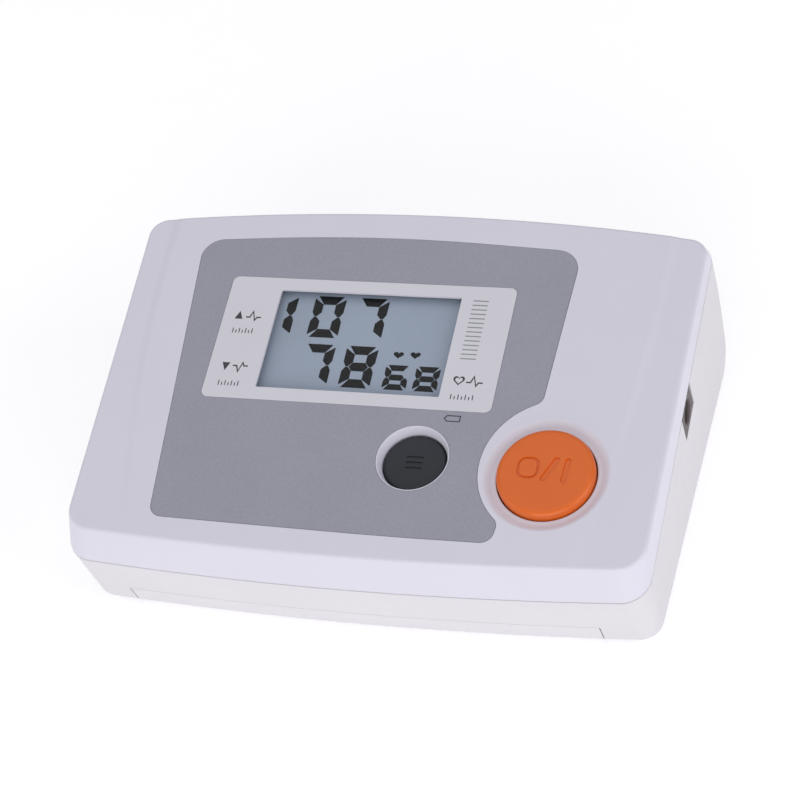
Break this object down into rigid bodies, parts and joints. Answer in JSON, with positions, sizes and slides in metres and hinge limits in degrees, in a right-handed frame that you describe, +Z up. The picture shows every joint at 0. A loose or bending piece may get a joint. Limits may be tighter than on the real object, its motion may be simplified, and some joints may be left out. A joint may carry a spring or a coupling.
{
  "type": "blood pressure monitor",
  "caption": "Wedge-shaped desktop blood pressure monitor with a display window, a round start button, a sunken memory button and a sliding battery door.",
  "frame": {"origin": "middle of the bounding box's footprint, on the plane the feet stand on", "axes": "+X to the user's right, along the width; -Y towards the user; +Z up"},
  "size_m": [0.1637, 0.1173, 0.0525],
  "materials": {
    "cover_white": "fine satin grain",
    "case_white": "fine satin grain",
    "door_white": "fine satin grain",
    "foam_dark": "open-cell foam",
    "overlay_grey": "fine grain",
    "window_white": "satin",
    "lens_clear": "polished",
    "gasket_black": "matte",
    "lcd_grey": "matte polariser",
    "reflector_white": "satin",
    "holder_white": "moulded",
    "zebra_pink": "striped elastomer",
    "board_green": "solder resist",
    "board_screw_steel": "zinc plated",
    "button_orange": "satin",
    "switch_black": "moulded",
    "switch_plunger_red": "moulded",
    "button_dark": "satin",
    "chip_black": "moulded epoxy",
    "capacitor_blue": "shrunk sleeve",
    "crystal_nickel": "plated can",
    "buzzer_black": "moulded",
    "sensor_cream": "moulded",
    "jack_grey": "moulded",
    "contact_nickel": "nickel plated",
    "cell_jacket": "printed jacket, bare of marks",
    "spring_nickel": "nickel plated wire",
    "contact_plate_nickel": "nickel plated sheet",
    "foot_rubber": "matte",
    "case_screw_steel": "zinc plated",
    "motor_can_zinc": "zinc plated",
    "motor_cap_black": "moulded",
    "magnet_ferrite": "sintered",
    "rotor_steel": "laminations",
    "pump_housing_white": "moulded",
    "yoke_natural": "moulded acetal",
    "diaphragm_rubber": "matte",
    "pump_head_black": "moulded",
    "cushion_rubber": "foam rubber",
    "valve_frame_zinc": "zinc plated",
    "coil_copper": "enamelled copper wire",
    "valve_core_steel": "turned",
    "valve_plunger_steel": "turned",
    "valve_seal_rubber": "matte",
    "valve_spring_steel": "spring wire",
    "valve_nozzle_white": "moulded",
    "connector_white": "moulded",
    "tube_silicone": "translucent silicone",
    "port_grey": "moulded",
    "wire_red": "pvc jacket",
    "wire_blue": "pvc jacket",
    "wire_black": "pvc jacket"
  },
  "bodies": {
    "unit": {"top_cover": "cover_white", "bottom_case": "case_white", "panel_overlay": "overlay_grey", "window_frame": "window_white", "display_lens": "lens_clear", "display_gasket": "gasket_black", "lcd_glass": "lcd_grey", "lcd_reflector": "reflector_white", "lcd_holder": "holder_white", "zebra_connectors": "zebra_pink", "main_pcb": "board_green", "pcb_screws": "board_screw_steel", "start_switch": "switch_black", "memory_switch": "switch_black", "control_chips": "chip_black", "pcb_capacitors": "capacitor_blue", "clock_crystal": "crystal_nickel", "buzzer": "buzzer_black", "pressure_sensor": "sensor_cream", "dc_jack": "jack_grey", "dc_jack_contacts": "contact_nickel", "aa_cells": "cell_jacket", "battery_springs": "spring_nickel", "battery_contacts": "contact_plate_nickel", "rubber_feet": "foot_rubber", "case_screws": "case_screw_steel", "pump_motor_can": "motor_can_zinc", "pump_motor_cap": "motor_cap_black", "pump_magnets": "magnet_ferrite", "pump_housing": "pump_housing_white", "pump_yoke": "yoke_natural", "pump_diaphragm": "diaphragm_rubber", "pump_head": "pump_head_black", "pump_cushions": "cushion_rubber", "valve_frame": "valve_frame_zinc", "valve_coil": "coil_copper", "valve_core": "valve_core_steel", "valve_spring": "valve_spring_steel", "valve_nozzle": "valve_nozzle_white", "hose_connector": "connector_white", "air_tubes": "tube_silicone", "air_port": "port_grey", "battery_wires": "wire_red", "pump_wires": "wire_blue", "valve_wires": "wire_black", "jack_wires": "wire_black"},
    "start_button": {"start_button": "button_orange"},
    "start_plunger": {"start_switch_plunger": "switch_plunger_red"},
    "memory_button": {"memory_button": "button_dark"},
    "memory_plunger": {"memory_switch_plunger": "switch_plunger_red"},
    "battery_door": {"battery_door": "door_white", "door_foam": "foam_dark"},
    "pump_rotor": {"pump_rotor": "rotor_steel"},
    "valve_plunger": {"valve_plunger": "valve_plunger_steel", "valve_seal": "valve_seal_rubber"}
  },
  "joints": [
    {"name": "start_press", "type": "slide", "parent": "unit", "child": "start_button", "axis": [0, 0.1736, -0.9848], "range_m": [0, 0.0005], "stiffness_N_per_m": 3000, "springref_m": -0.0003},
    {"name": "start_plunger_press", "type": "slide", "parent": "unit", "child": "start_plunger", "axis": [0, 0.1736, -0.9848], "range_m": [0, 0.0005]},
    {"name": "memory_press", "type": "slide", "parent": "unit", "child": "memory_button", "axis": [0, 0.1736, -0.9848], "range_m": [0, 0.0005], "stiffness_N_per_m": 3000, "springref_m": -0.0003},
    {"name": "memory_plunger_press", "type": "slide", "parent": "unit", "child": "memory_plunger", "axis": [0, 0.1736, -0.9848], "range_m": [0, 0.0005]},
    {"name": "door_slide", "type": "slide", "parent": "unit", "child": "battery_door", "axis": [0, -1, 0], "range_m": [0, 0.038]},
    {"name": "pump_spin", "type": "hinge", "parent": "unit", "child": "pump_rotor", "pos_m": [-0.012, 0.03775, 0.0185], "axis": [1, 0, 0], "continuous": true},
    {"name": "valve_pull", "type": "slide", "parent": "unit", "child": "valve_plunger", "axis": [1, 0, 0], "range_m": [0, 0.001], "stiffness_N_per_m": 150, "springref_m": -0.001, "deforming": ["valve_spring"]}
  ],
  "couplings": [
    {"joint": "start_plunger_press", "follows": "start_press", "ratio": 1},
    {"joint": "memory_plunger_press", "follows": "memory_press", "ratio": 1}
  ]
}
